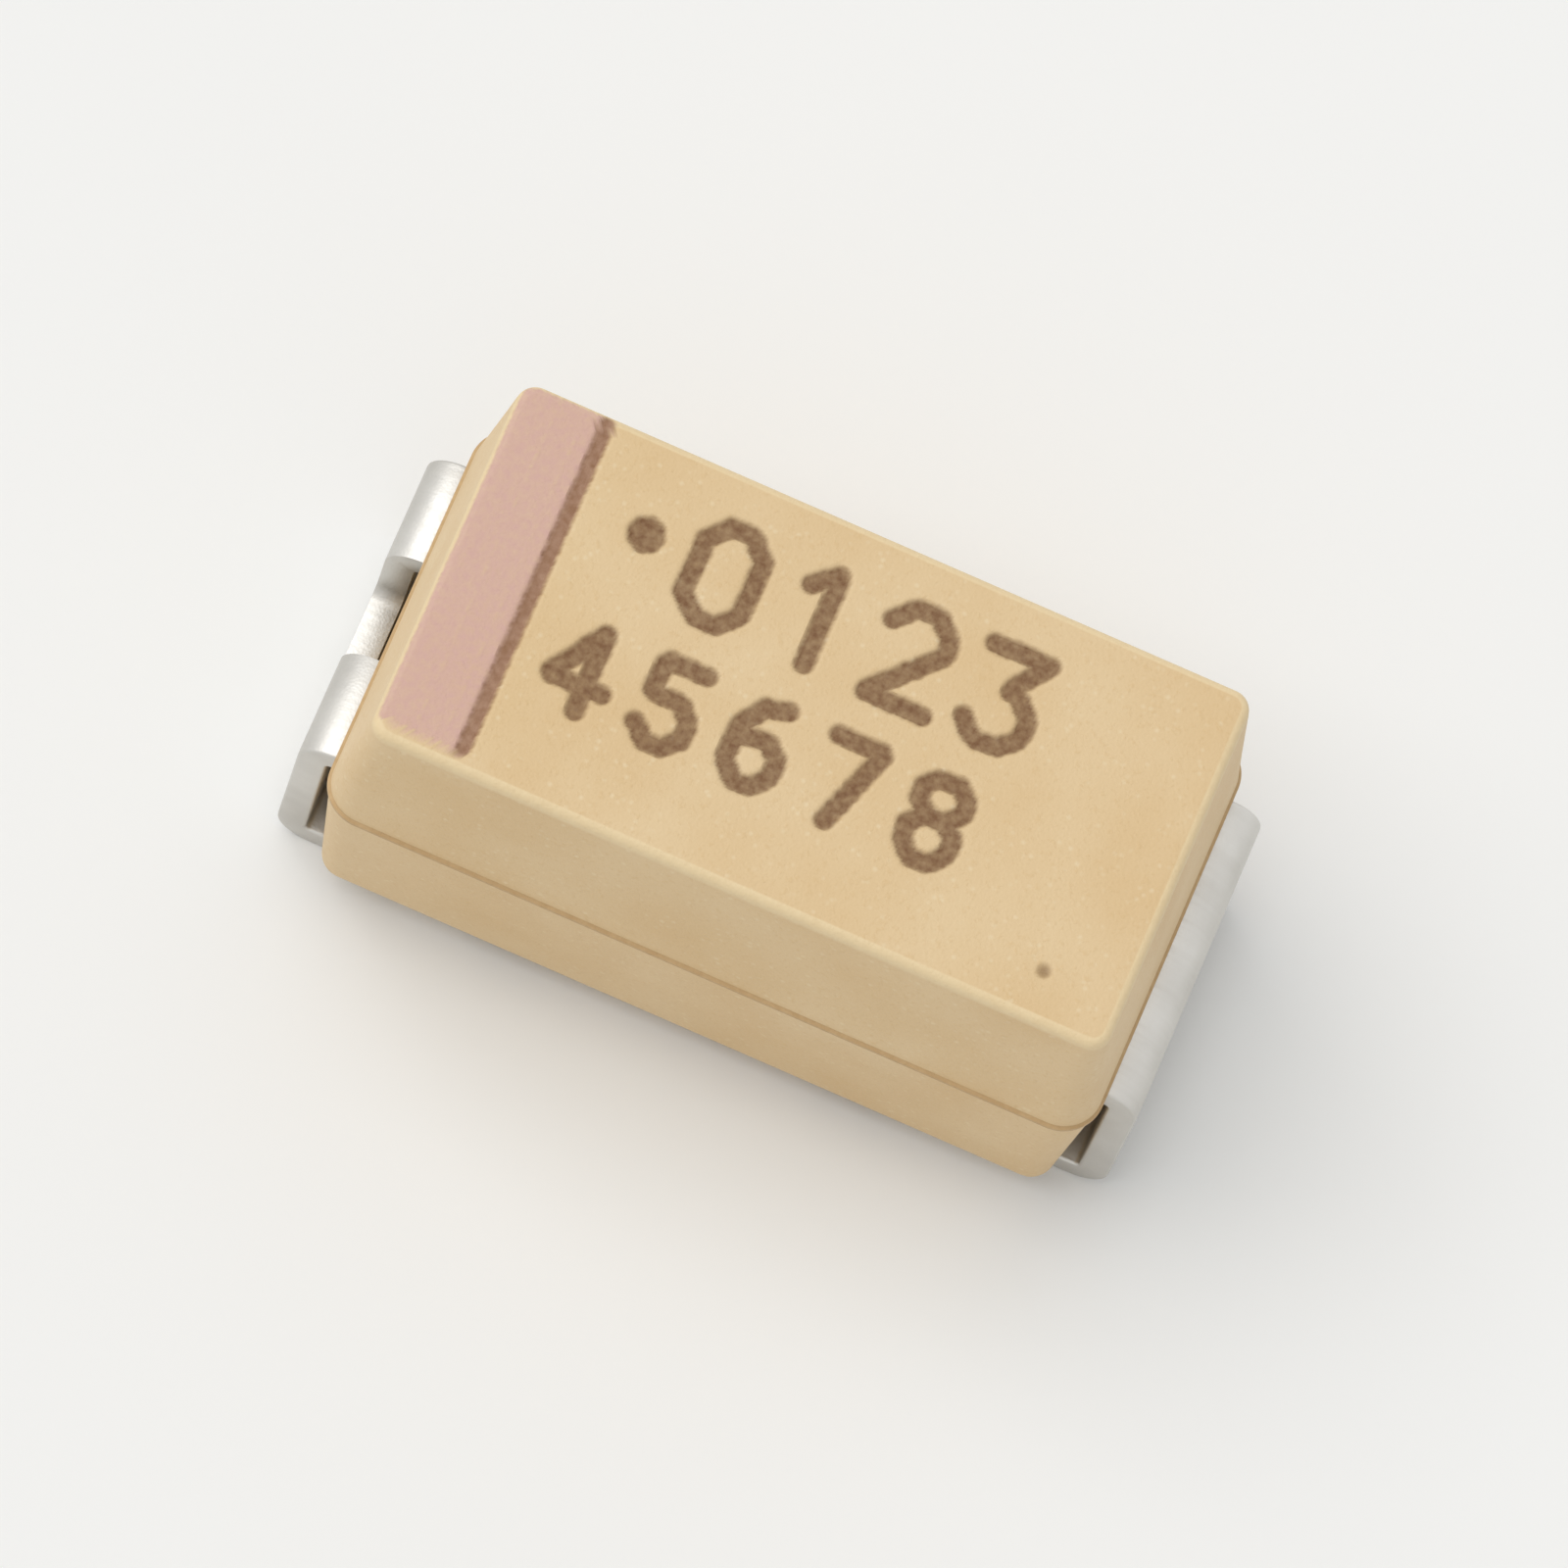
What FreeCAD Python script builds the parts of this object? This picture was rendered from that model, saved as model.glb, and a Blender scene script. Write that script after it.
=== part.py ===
import FreeCAD, Part
import math
import os
from enum import IntEnum, auto

import Sketcher
from FreeCAD import Placement, Rotation, Vector

# Moulded tantalum chip capacitor, standing on its two folded terminals.
# X runs along its length with the anode at -X, Y across its width, Z up from the solder plane.
# The origin is the middle of the footprint. All lengths are millimetres, all angles degrees.

# Driving sizes: each is set once here and can be changed by itself.
SIZES = [
    ("overall_length", 3.2, "over both terminals"),
    ("case_width", 1.6, "moulded case at the parting plane"),
    ("lead_exit_height", 0.9, "solder plane to the parting plane and the top of the strip"),
    ("upper_case_height", 0.7, "parting plane to the top face"),
    ("upper_draft", 7, "draft of the upper mould half"),
    ("lower_draft", 5, "draft of the lower mould half"),
    ("top_corner_radius", 0.07, "plan radius of the case corners at the top face"),
    ("case_edge_radius", 0.035, "round along the top and bottom edges of the case"),
    ("terminal_width", 1.2, "lead strip outside the case"),
    ("strip_thickness", 0.11, "lead strip"),
    ("bend_radius", 0.02, "inside of each fold of the strip"),
    ("foot_length", 0.8, "solder foot, from the end of the chip"),
    ("foot_clearance", 0.03, "foot to the underside of the case"),
    ("pad_height", 0.05, "glue pad under the case"),
    ("pad_width", 1.3, "glue pad, across the case"),
    ("pad_gap", 0.25, "tip of each foot to the glue pad"),
    ("pad_corner_radius", 0.06, "plan corners of the glue pad"),
    ("window_width", 0.4, "solder window in the anode strip"),
    ("window_height", 0.42, "solder window, down from the parting plane"),
    ("window_corner_radius", 0.06, "corners of the solder window"),
    ("shoulder_width", 0.15, "narrowing of the strip inside the case, each side"),
    ("shoulder_depth", 0.1, "case end to the narrowing of the strip"),
    ("tongue_length", 0.4, "anode strip inside the case"),
    ("tongue_gap", 0.16, "tip of the tongue to the washer"),
    ("cathode_run", 0.27, "case end to the downward fold of the cathode strip"),
    ("paddle_length", 1.0, "cathode strip under the element"),
    ("roof_wall", 0.15, "case over the element"),
    ("floor_wall", 0.19, "case under the paddle"),
    ("side_wall", 0.21, "case beside the element at the parting plane"),
    ("pellet_edge_radius", 0.08, "long edges of the pressed pellet, rounded by its die"),
    ("wire_diameter", 0.18, "riser wire"),
    ("wire_embed", 0.8, "riser wire inside the pellet"),
    ("weld_depth", 0.03, "riser wire sunk into the tongue by its weld"),
    ("weld_end_gap", 0.04, "outer tip of the riser wire to the case end"),
    ("washer_diameter", 0.5, "insulating washer"),
    ("washer_thickness", 0.1, "insulating washer"),
    ("manganese_coat", 0.04, "manganese dioxide over the pellet"),
    ("graphite_coat", 0.02, "graphite over the manganese dioxide"),
    ("silver_coat", 0.03, "silver paint over the graphite"),
    ("graphite_setback", 0.1, "anode face of the pellet to the rim of the graphite"),
    ("silver_setback", 0.06, "rim of the graphite to the rim of the silver"),
    ("adhesive_gap", 0.03, "silver adhesive between the silver and the cathode strip"),
    ("adhesive_rise", 0.4, "silver adhesive up the end of the element, from the paddle"),
    ("adhesive_margin", 0.05, "edge of the cathode strip to the silver adhesive"),
]

# Places that several pieces share, worked out from the driving sizes.
STRIP_END = "(Sizes.overall_length / 2)"
CASE_END = f"({STRIP_END} - Sizes.strip_thickness - Sizes.bend_radius)"
CASE_TOP = "(Sizes.lead_exit_height + Sizes.upper_case_height)"
CASE_UNDERSIDE = "(Sizes.strip_thickness + Sizes.foot_clearance)"
PARTING_RADIUS = "(Sizes.top_corner_radius + Sizes.upper_case_height * tan(Sizes.upper_draft))"
FOOT_TIP = f"({STRIP_END} - Sizes.foot_length)"
LEG_INNER_FACE = f"({STRIP_END} - Sizes.strip_thickness)"
OUTER_BEND = "(Sizes.bend_radius + Sizes.strip_thickness)"
INNER_WIDTH = "(Sizes.terminal_width - 2 * Sizes.shoulder_width)"
SHOULDER = f"({CASE_END} - Sizes.shoulder_depth)"
ALL_COATS = "(Sizes.manganese_coat + Sizes.graphite_coat + Sizes.silver_coat)"
PADDLE_TOP = f"({CASE_UNDERSIDE} + Sizes.floor_wall + Sizes.strip_thickness)"
CATHODE_FOLD = f"({CASE_END} - Sizes.cathode_run - Sizes.strip_thickness)"
PADDLE_TIP = f"({CATHODE_FOLD} - Sizes.paddle_length)"
TONGUE_TIP = f"({CASE_END} - Sizes.tongue_length)"
PELLET_BOTTOM = f"({PADDLE_TOP} + Sizes.adhesive_gap + {ALL_COATS})"
PELLET_TOP = f"({CASE_TOP} - Sizes.roof_wall - {ALL_COATS})"
PELLET_HEIGHT = f"({PELLET_TOP} - {PELLET_BOTTOM})"
PELLET_WIDTH = f"(Sizes.case_width - 2 * Sizes.side_wall - 2 * {ALL_COATS})"
PELLET_ANODE_FACE = f"(-{TONGUE_TIP} + Sizes.tongue_gap + Sizes.washer_thickness)"
GRAPHITE_RIM = f"({PELLET_ANODE_FACE} + Sizes.graphite_setback)"
PELLET_CATHODE_FACE = f"({CATHODE_FOLD} - Sizes.adhesive_gap - {ALL_COATS})"
ELEMENT_AXIS = f"(({PELLET_TOP} + {PELLET_BOTTOM}) / 2)"
WIRE_AXIS = "(Sizes.lead_exit_height + Sizes.wire_diameter / 2 - Sizes.weld_depth)"
WIRE_START = f"(-{CASE_END} + Sizes.weld_end_gap)"


class PointOf(IntEnum):
    """The points of a line, arc or circle in a sketch, counted from one."""
    START = auto()
    END = auto()
    CENTRE = auto()


class AxisOf(IntEnum):
    """The axes of a sketch; a constraint names them with a minus sign."""
    LEVEL = auto()
    UPRIGHT = auto()


ORIGIN = (-AxisOf.LEVEL, PointOf.START)

QUARTER_TURN = math.pi / 2
ALONG_X = Rotation(Vector(0, 0, 1), Vector(1, 0, 0))
SAME_PLACE = 1e-6

document = FreeCAD.newDocument("TantalumCapacitor")
sheet = document.addObject("Spreadsheet::Sheet", "Sizes")


def fill_sheet():
    """Writes each driving size into a row of the sheet, with its name as the alias."""
    for row, (name, size, note) in enumerate(SIZES, start=1):
        sheet.set(f"A{row}", name)
        sheet.set(f"B{row}", str(size))
        sheet.setAlias(f"B{row}", name)
        sheet.set(f"C{row}", note)
    document.recompute()


def number(expression):
    """The value of a size expression, used for the first guess of a sketch."""
    return float(sheet.evalExpression(expression))


def new_body(label):
    """A body for one sub-part, or for a blank that a sub-part is cut from."""
    body = document.addObject("PartDesign::Body", label)
    body.Label = label
    return body


def place(item, x="0", y="0", z="0"):
    """Ties the place of a sub-part to the sheet."""
    for axis, expression in zip("xyz", (x, y, z)):
        item.setExpression(f"Placement.Base.{axis}", expression)


def new_sketch(body, name, plane, offset="0"):
    """A sketch on one of the body's own planes, moved along the plane's normal by the offset."""
    origin_plane = next(item for item in body.Origin.OriginFeatures if item.Role == plane)
    sketch = body.newObject("Sketcher::SketchObject", name)
    sketch.AttachmentSupport = [(origin_plane, "")]
    sketch.MapMode = "FlatFace"
    sketch.setExpression("AttachmentOffset.Base.z", offset)
    return sketch


def dimension(sketch, name, expression, kind, *references):
    """A named dimension of a sketch, tied to the sheet."""
    sketch.addConstraint(Sketcher.Constraint(kind, *references, number(expression)))
    sketch.renameConstraint(sketch.ConstraintCount - 1, name)
    sketch.setExpression(f"Constraints.{name}", expression)


def circle(sketch, name, radius, height="0"):
    """A circle centred on the sketch's upright axis."""
    centre = Vector(0, number(height), 0)
    ring = sketch.addGeometry(Part.Circle(centre, Vector(0, 0, 1), number(radius)))
    sketch.addConstraint(Sketcher.Constraint("PointOnObject", ring, PointOf.CENTRE, -AxisOf.UPRIGHT))
    dimension(sketch, f"{name}_height", height, "DistanceY", *ORIGIN, ring, PointOf.CENTRE)
    dimension(sketch, f"{name}_radius", radius, "Radius", ring)


def outline(sketch, sides):
    """A closed outline of level and upright lines in turn, the first one level.

    Each side is its name, its place (the height of a level line, or how far across an upright one
    stands) and the radius of the corner where it starts, or None for a sharp corner.
    """
    places = [number(place_of) for name, place_of, radius in sides]
    radii = [number(radius) if radius else 0 for name, place_of, radius in sides]
    corners = []
    for index, place_of in enumerate(places):
        upright, level = (place_of, places[index - 1]) if index % 2 else (places[index - 1], place_of)
        corners.append(Vector(upright, level, 0))
    following = corners[1:] + corners[:1]
    runs = [(after - before).normalize() for before, after in zip(corners, following)]
    lines = []
    for index, run in enumerate(runs):
        begin = corners[index] + run * radii[index]
        finish = following[index] - run * radii[(index + 1) % len(radii)]
        lines.append(sketch.addGeometry(Part.LineSegment(begin, finish)))
        sketch.addConstraint(Sketcher.Constraint("Vertical" if index % 2 else "Horizontal", lines[-1]))
    for index, (name, place_of, radius) in enumerate(sides):
        if radius:
            arc = corner_arc(sketch, lines[index - 1], lines[index], corners[index],
                             runs[index - 1], runs[index], radii[index])
            dimension(sketch, f"{name}_bend", radius, "Radius", arc)
        else:
            sketch.addConstraint(Sketcher.Constraint("Coincident", lines[index - 1], PointOf.END,
                                                     lines[index], PointOf.START))
    for index, (name, place_of, radius) in enumerate(sides):
        kind = "DistanceX" if index % 2 else "DistanceY"
        dimension(sketch, name, place_of, kind, *ORIGIN, lines[index], PointOf.START)


def corner_arc(sketch, line_before, line_after, corner, run_in, run_out, radius):
    """A quarter arc in a corner, tangent to the line before it and the line after it."""
    centre = corner + (run_out - run_in) * radius
    turns_left = run_in.cross(run_out).z > 0
    first = run_out * -1 if turns_left else run_in
    start_angle = math.atan2(first.y, first.x)
    ring = Part.Circle(centre, Vector(0, 0, 1), radius)
    arc = sketch.addGeometry(Part.ArcOfCircle(ring, start_angle, start_angle + QUARTER_TURN))
    entry, leave = PointOf.START, PointOf.END
    if not turns_left:
        entry, leave = leave, entry
    sketch.addConstraint(Sketcher.Constraint("Tangent", line_before, PointOf.END, arc, entry))
    sketch.addConstraint(Sketcher.Constraint("Tangent", arc, leave, line_after, PointOf.START))
    return arc


def rectangle(sketch, name, left, right, bottom, top, radius=None):
    """An upright rectangle between four places."""
    outline(sketch, [
        (f"{name}_bottom", bottom, radius),
        (f"{name}_right", right, radius),
        (f"{name}_top", top, radius),
        (f"{name}_left", left, radius),
    ])


def centred_rectangle(sketch, name, width, height, radius=None):
    """A rectangle about the middle of the sketch."""
    rectangle(sketch, name, f"-{width} / 2", f"{width} / 2", f"-{height} / 2", f"{height} / 2", radius)


def pad(body, name, sketch, length, both_ways=False, backwards=False, draft=None):
    """Raises a solid from a sketch, drawn in by a draft angle where one is given."""
    feature = body.newObject("PartDesign::Pad", name)
    feature.Profile = sketch
    feature.SideType = "Symmetric" if both_ways else "One side"
    feature.Reversed = backwards
    feature.setExpression("Length", length)
    if draft:
        feature.setExpression("TaperAngle", f"-{draft}")
    return feature


def pocket(body, name, sketch, length, along_normal=False):
    """Cuts a sketch's outline out of the body, and makes sure that it took something away."""
    document.recompute()
    volume_before = body.Shape.Volume
    feature = body.newObject("PartDesign::Pocket", name)
    feature.Profile = sketch
    feature.Reversed = along_normal
    feature.setExpression("Length", length)
    document.recompute()
    if body.Shape.Volume >= volume_before:
        raise RuntimeError(f"{body.Label}: {name} cuts nothing")


def round_edges(body, name, base, radius, wanted):
    """Rounds the edges of the last feature that a test of their bounding box picks."""
    document.recompute()
    edges = [f"Edge{index}" for index, edge in enumerate(base.Shape.Edges, start=1)
             if wanted(edge.BoundBox)]
    feature = body.newObject("PartDesign::Fillet", name)
    feature.Base = (base, edges)
    feature.setExpression("Radius", radius)


def cut(label, base, tools):
    """A sub-part that is one solid less the pieces that lie in it."""
    tool = tools[0]
    if len(tools) > 1:
        tool = document.addObject("Part::MultiFuse", f"{label}_tools")
        tool.Shapes = tools
    result = document.addObject("Part::Cut", label)
    result.Label = label
    result.Base = base
    result.Tool = tool
    return result


def narrow_inside(body, inward_end, outward_end):
    """Narrows the strip inside the case, above its foot, between two places along its length."""
    sketch = new_sketch(body, f"{body.Label}_shoulders", "XY_Plane", CASE_UNDERSIDE)
    left, right = sorted((inward_end, outward_end), key=number)
    for name, near, far in (("back", f"{INNER_WIDTH} / 2", "Sizes.terminal_width"),
                            ("front", f"-{INNER_WIDTH} / 2", "-Sizes.terminal_width")):
        bottom, top = sorted((near, far), key=number)
        rectangle(sketch, name, left, right, bottom, top)
    pocket(body, f"{body.Label}_narrowing", sketch, "Sizes.lead_exit_height", along_normal=True)


def make_anode_terminal():
    """The anode strip: a tongue in the case, a leg down its end and a foot folded under it."""
    body = new_body("anode_terminal")
    section = new_sketch(body, "anode_section", "XZ_Plane")
    outline(section, [
        ("tongue_top", "Sizes.lead_exit_height", None),
        ("leg_outer_face", f"-{STRIP_END}", OUTER_BEND),
        ("sole", "0", OUTER_BEND),
        ("foot_tip", f"-{FOOT_TIP}", None),
        ("foot_top", "Sizes.strip_thickness", None),
        ("leg_inner_face", f"-{LEG_INNER_FACE}", "Sizes.bend_radius"),
        ("tongue_bottom", "Sizes.lead_exit_height - Sizes.strip_thickness", "Sizes.bend_radius"),
        ("tongue_tip", f"-{TONGUE_TIP}", None),
    ])
    pad(body, "anode_strip", section, "Sizes.terminal_width", both_ways=True)
    narrow_inside(body, PELLET_ANODE_FACE, f"-{SHOULDER}")

    # The window opens the bend right at the case end, so that solder wets the leg from both sides.
    window = new_sketch(body, "solder_window_outline", "YZ_Plane", f"-{CASE_END}")
    rectangle(window, "window", "-Sizes.window_width / 2", "Sizes.window_width / 2",
              "Sizes.lead_exit_height - Sizes.window_height",
              "Sizes.lead_exit_height + Sizes.window_corner_radius", "Sizes.window_corner_radius")
    pocket(body, "solder_window", window, "Sizes.overall_length")

    # The riser wire is welded down into a seat along the tongue.
    seat = new_sketch(body, "weld_seat_outline", "YZ_Plane", WIRE_START)
    circle(seat, "wire", "Sizes.wire_diameter / 2", WIRE_AXIS)
    pocket(body, "weld_seat", seat, "Sizes.tongue_length", along_normal=True)
    return body


def make_cathode_terminal():
    """The cathode strip: a paddle under the element, a step up its end, a leg and a foot."""
    body = new_body("cathode_terminal")
    section = new_sketch(body, "cathode_section", "XZ_Plane")
    outline(section, [
        ("paddle_top", PADDLE_TOP, None),
        ("step_element_face", CATHODE_FOLD, "Sizes.bend_radius"),
        ("exit_top", "Sizes.lead_exit_height", OUTER_BEND),
        ("leg_outer_face", STRIP_END, OUTER_BEND),
        ("sole", "0", OUTER_BEND),
        ("foot_tip", FOOT_TIP, None),
        ("foot_top", "Sizes.strip_thickness", None),
        ("leg_inner_face", LEG_INNER_FACE, "Sizes.bend_radius"),
        ("exit_bottom", "Sizes.lead_exit_height - Sizes.strip_thickness", "Sizes.bend_radius"),
        ("step_outer_face", f"{CATHODE_FOLD} + Sizes.strip_thickness", "Sizes.bend_radius"),
        ("paddle_bottom", f"{PADDLE_TOP} - Sizes.strip_thickness", OUTER_BEND),
        ("paddle_tip", PADDLE_TIP, None),
    ])
    pad(body, "cathode_strip", section, "Sizes.terminal_width", both_ways=True)
    narrow_inside(body, PELLET_ANODE_FACE, SHOULDER)
    return body


def element_block(label, start, growth):
    """A block with rounded long edges, larger than the pellet by a growth on each side.

    It runs from its start to the growth beyond the pellet's cathode face.
    """
    body = new_body(label)
    place(body, x=start, z=ELEMENT_AXIS)
    face = new_sketch(body, f"{label}_outline", "YZ_Plane")
    centred_rectangle(face, "block", f"({PELLET_WIDTH} + 2 * {growth})",
                      f"({PELLET_HEIGHT} + 2 * {growth})")
    block = pad(body, f"{label}_block", face, f"{PELLET_CATHODE_FACE} + {growth} - {start}")
    round_edges(body, f"{label}_rounds", block, f"Sizes.pellet_edge_radius + {growth}",
                lambda box: box.XLength > SAME_PLACE)
    return body


def make_pellet():
    """The sintered pellet, pressed round the riser wire."""
    body = element_block("tantalum_pellet", PELLET_ANODE_FACE, "0")
    hole = new_sketch(body, "wire_hole_outline", "YZ_Plane")
    circle(hole, "wire", "Sizes.wire_diameter / 2", f"{WIRE_AXIS} - {ELEMENT_AXIS}")
    pocket(body, "wire_hole", hole, "Sizes.wire_embed", along_normal=True)
    return body


def make_riser_wire():
    """The drawn wire from the weld on the tongue to the heart of the pellet."""
    wire = document.addObject("Part::Cylinder", "riser_wire")
    wire.Label = "riser_wire"
    wire.Placement = Placement(Vector(), ALONG_X)
    wire.setExpression("Radius", "Sizes.wire_diameter / 2")
    wire.setExpression("Height", f"{PELLET_ANODE_FACE} + Sizes.wire_embed - {WIRE_START}")
    place(wire, x=WIRE_START, z=WIRE_AXIS)
    return wire


def make_washer():
    """The insulating washer, threaded on the wire against the pellet."""
    body = new_body("wire_washer")
    place(body, x=f"{PELLET_ANODE_FACE} - Sizes.washer_thickness", z=WIRE_AXIS)
    ring = new_sketch(body, "washer_outline", "YZ_Plane")
    circle(ring, "rim", "Sizes.washer_diameter / 2")
    circle(ring, "bore", "Sizes.wire_diameter / 2")
    pad(body, "washer_ring", ring, "Sizes.washer_thickness")
    return body


def make_coats(pellet, wire, washer):
    """The manganese dioxide all round the pellet, and the graphite and silver cups over it.

    Also gives the silver's uncut blank, which is what the adhesive lies against.
    """
    manganese = element_block("manganese_blank", f"({PELLET_ANODE_FACE} - Sizes.manganese_coat)",
                              "Sizes.manganese_coat")
    graphite = element_block("graphite_blank", GRAPHITE_RIM,
                             "(Sizes.manganese_coat + Sizes.graphite_coat)")
    silver = element_block("silver_blank", f"({GRAPHITE_RIM} + Sizes.silver_setback)", ALL_COATS)
    layers = [
        cut("manganese_dioxide_layer", manganese, [pellet, wire, washer]),
        cut("graphite_layer", graphite, [manganese]),
        cut("silver_layer", silver, [graphite, manganese]),
    ]
    return layers, silver


def make_adhesive(silver_blank, cathode):
    """The silver adhesive between the element and the cathode strip, under it and up its end."""
    blank = new_body("adhesive_blank")
    section = new_sketch(blank, "adhesive_section", "XZ_Plane")
    rectangle(section, "adhesive", PADDLE_TIP, CATHODE_FOLD,
              PADDLE_TOP, f"{PADDLE_TOP} + Sizes.adhesive_rise")
    pad(blank, "adhesive_fill", section, f"{INNER_WIDTH} - 2 * Sizes.adhesive_margin",
        both_ways=True)
    return cut("silver_adhesive", blank, [silver_blank, cathode])


def make_case(inner_pieces):
    """The case, moulded in two drafted halves round everything that lies in it."""
    blank = new_body("case_blank")
    parting = new_sketch(blank, "parting_outline", "XY_Plane", "Sizes.lead_exit_height")
    centred_rectangle(parting, "case", f"(2 * {CASE_END})", "Sizes.case_width", PARTING_RADIUS)
    pad(blank, "upper_half", parting, "Sizes.upper_case_height", draft="Sizes.upper_draft")
    lower = pad(blank, "lower_half", parting, f"Sizes.lead_exit_height - {CASE_UNDERSIDE}",
                backwards=True, draft="Sizes.lower_draft")
    flat_levels = [number(CASE_TOP), number(CASE_UNDERSIDE)]
    round_edges(blank, "mould_rounds", lower, "Sizes.case_edge_radius",
                lambda box: any(abs(box.ZMin - level) < SAME_PLACE
                                and abs(box.ZMax - level) < SAME_PLACE for level in flat_levels))

    # The glue pad fills the space between the tips of the two feet.
    glue_pad = new_sketch(blank, "glue_pad_outline", "XY_Plane", CASE_UNDERSIDE)
    centred_rectangle(glue_pad, "glue_pad", f"(2 * ({FOOT_TIP} - Sizes.pad_gap))",
                      "Sizes.pad_width", "Sizes.pad_corner_radius")
    pad(blank, "glue_pad", glue_pad, "Sizes.pad_height", backwards=True)
    return cut("moulded_case", blank, inner_pieces)


def check_and_export(sub_parts):
    """Stops on any failed feature or empty solid, and writes one file for each sub-part."""
    document.recompute()
    for item in document.Objects:
        if "Invalid" in item.State or "Error" in item.State:
            raise RuntimeError(f"{item.Label} failed: {item.State}")
    for sub_part in sub_parts:
        shape = sub_part.Shape
        if shape.isNull() or not shape.isValid() or not shape.Solids:
            raise RuntimeError(f"{sub_part.Label} has no valid shape")
    os.makedirs("parts", exist_ok=True)
    for sub_part in sub_parts:
        sub_part.Shape.exportStep(f"parts/{sub_part.Label}.step")
        print(f"{sub_part.Label}: {len(sub_part.Shape.Solids)} solid, "
              f"{sub_part.Shape.Volume:.4f} cubic millimetres")


fill_sheet()
anode_terminal = make_anode_terminal()
cathode_terminal = make_cathode_terminal()
tantalum_pellet = make_pellet()
riser_wire = make_riser_wire()
wire_washer = make_washer()
coats, silver_blank = make_coats(tantalum_pellet, riser_wire, wire_washer)
silver_adhesive = make_adhesive(silver_blank, cathode_terminal)
inner_pieces = [anode_terminal, cathode_terminal, tantalum_pellet, riser_wire, wire_washer,
                *coats, silver_adhesive]
moulded_case = make_case(inner_pieces)
check_and_export([moulded_case, *inner_pieces])
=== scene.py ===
"""Dresses a moulded tantalum chip capacitor over its packed construction model."""
import sys
import logging
import math
from dataclasses import dataclass, field
from enum import Enum

import bpy
from mathutils import Matrix, Vector


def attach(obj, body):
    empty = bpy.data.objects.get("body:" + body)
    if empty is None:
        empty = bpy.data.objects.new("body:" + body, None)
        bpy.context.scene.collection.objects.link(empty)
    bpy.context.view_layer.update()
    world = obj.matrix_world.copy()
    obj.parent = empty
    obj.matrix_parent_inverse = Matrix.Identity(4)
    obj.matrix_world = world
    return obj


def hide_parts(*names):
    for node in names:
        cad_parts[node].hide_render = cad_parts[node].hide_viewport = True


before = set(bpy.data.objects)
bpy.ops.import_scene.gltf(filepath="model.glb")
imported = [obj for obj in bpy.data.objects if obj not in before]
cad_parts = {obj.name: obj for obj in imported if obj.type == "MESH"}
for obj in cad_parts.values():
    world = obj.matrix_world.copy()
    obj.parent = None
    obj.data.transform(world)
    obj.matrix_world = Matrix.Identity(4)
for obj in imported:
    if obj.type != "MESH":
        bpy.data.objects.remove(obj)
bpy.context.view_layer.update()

LOG = logging.getLogger("chip_capacitor")
MM = 0.001
SHARP_TURN = math.radians(40)
EVEN = (1.0, 1.0, 1.0)

# Millimetres that several pieces share: ends and tips lie that far from the chip's middle, the
# parting line lies that high over the solder plane, and the strip is that thick
CHIP_END = 1.6
CASE_END = 1.47
FOOT_TIP = 0.8
PARTING = 0.9
STRIP = 0.11

Plan = tuple[float, float]
Triple = tuple[float, float, float]
Stroke = list[Plan]
Solid = tuple[list[Vector], list[tuple[int, ...]]]
Inputs = dict[str, tuple[str, object]]
Nodes = bpy.types.NodeTree
Socket = bpy.types.NodeSocket
Mesh = bpy.types.Mesh
Item = bpy.types.Object

MATH = "ShaderNodeMath"
TIMES = {"operation": "MULTIPLY"}
TIMES_PLUS = {"operation": "MULTIPLY_ADD"}
MOST = {"operation": "MAXIMUM"}


class End(Enum):
    """The end of the chip that a terminal wraps, as its sign along X."""

    ANODE = -1
    CATHODE = 1


class Mark(Enum):
    """The vertex attributes that tell the resin where it was shaped or marked, and where light is painted.
    """

    ROUNDED = "rounded_edge"
    SEAM = "parting_line"
    BAND = "polarity_band"
    BORDER = "band_border"
    STROKES = "laser_strokes"
    PIT = "resin_pit"


class Texture(Enum):
    """The two kinds of pattern, each with its node and the output that it is read from."""

    CLOUDS = ("ShaderNodeTexNoise", "Fac")
    GRAINS = ("ShaderNodeTexVoronoi", "Distance")


# Shared helpers


def linear(code: str) -> tuple[float, float, float, float]:
    """Turns an sRGB colour to Blender's linear one.

    Args:
        code: six hex digits after a hash.

    Returns:
        The linear red, green and blue, with an alpha of one.
    """
    parts = [int(code[place : place + 2], 16) / 255 for place in (1, 3, 5)]
    red, green, blue = (c / 12.92 if c <= 0.04045 else ((c + 0.055) / 1.055) ** 2.4 for c in parts)
    return red, green, blue, 1.0


def add_node(
    tree: Nodes, kind: str, settings: dict | None = None, links: dict | None = None, out: str | int = 0
) -> Socket | None:
    """Adds one node to a shader or geometry tree.

    Args:
        tree: the tree that gets the node.
        kind: the node's type name.
        settings: the node's own properties.
        links: a value or a source socket for each of its inputs, by name or by place.
        out: the output that is wanted, by name or by place.

    Returns:
        That output's socket, or None for a node without outputs.
    """
    node = tree.nodes.new(kind)
    for name, value in (settings or {}).items():
        setattr(node, name, value)
    for key, value in (links or {}).items():
        if isinstance(value, Socket):
            tree.links.new(value, node.inputs[key])
        else:
            node.inputs[key].default_value = value
    return node.outputs[out] if node.outputs else None


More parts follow.
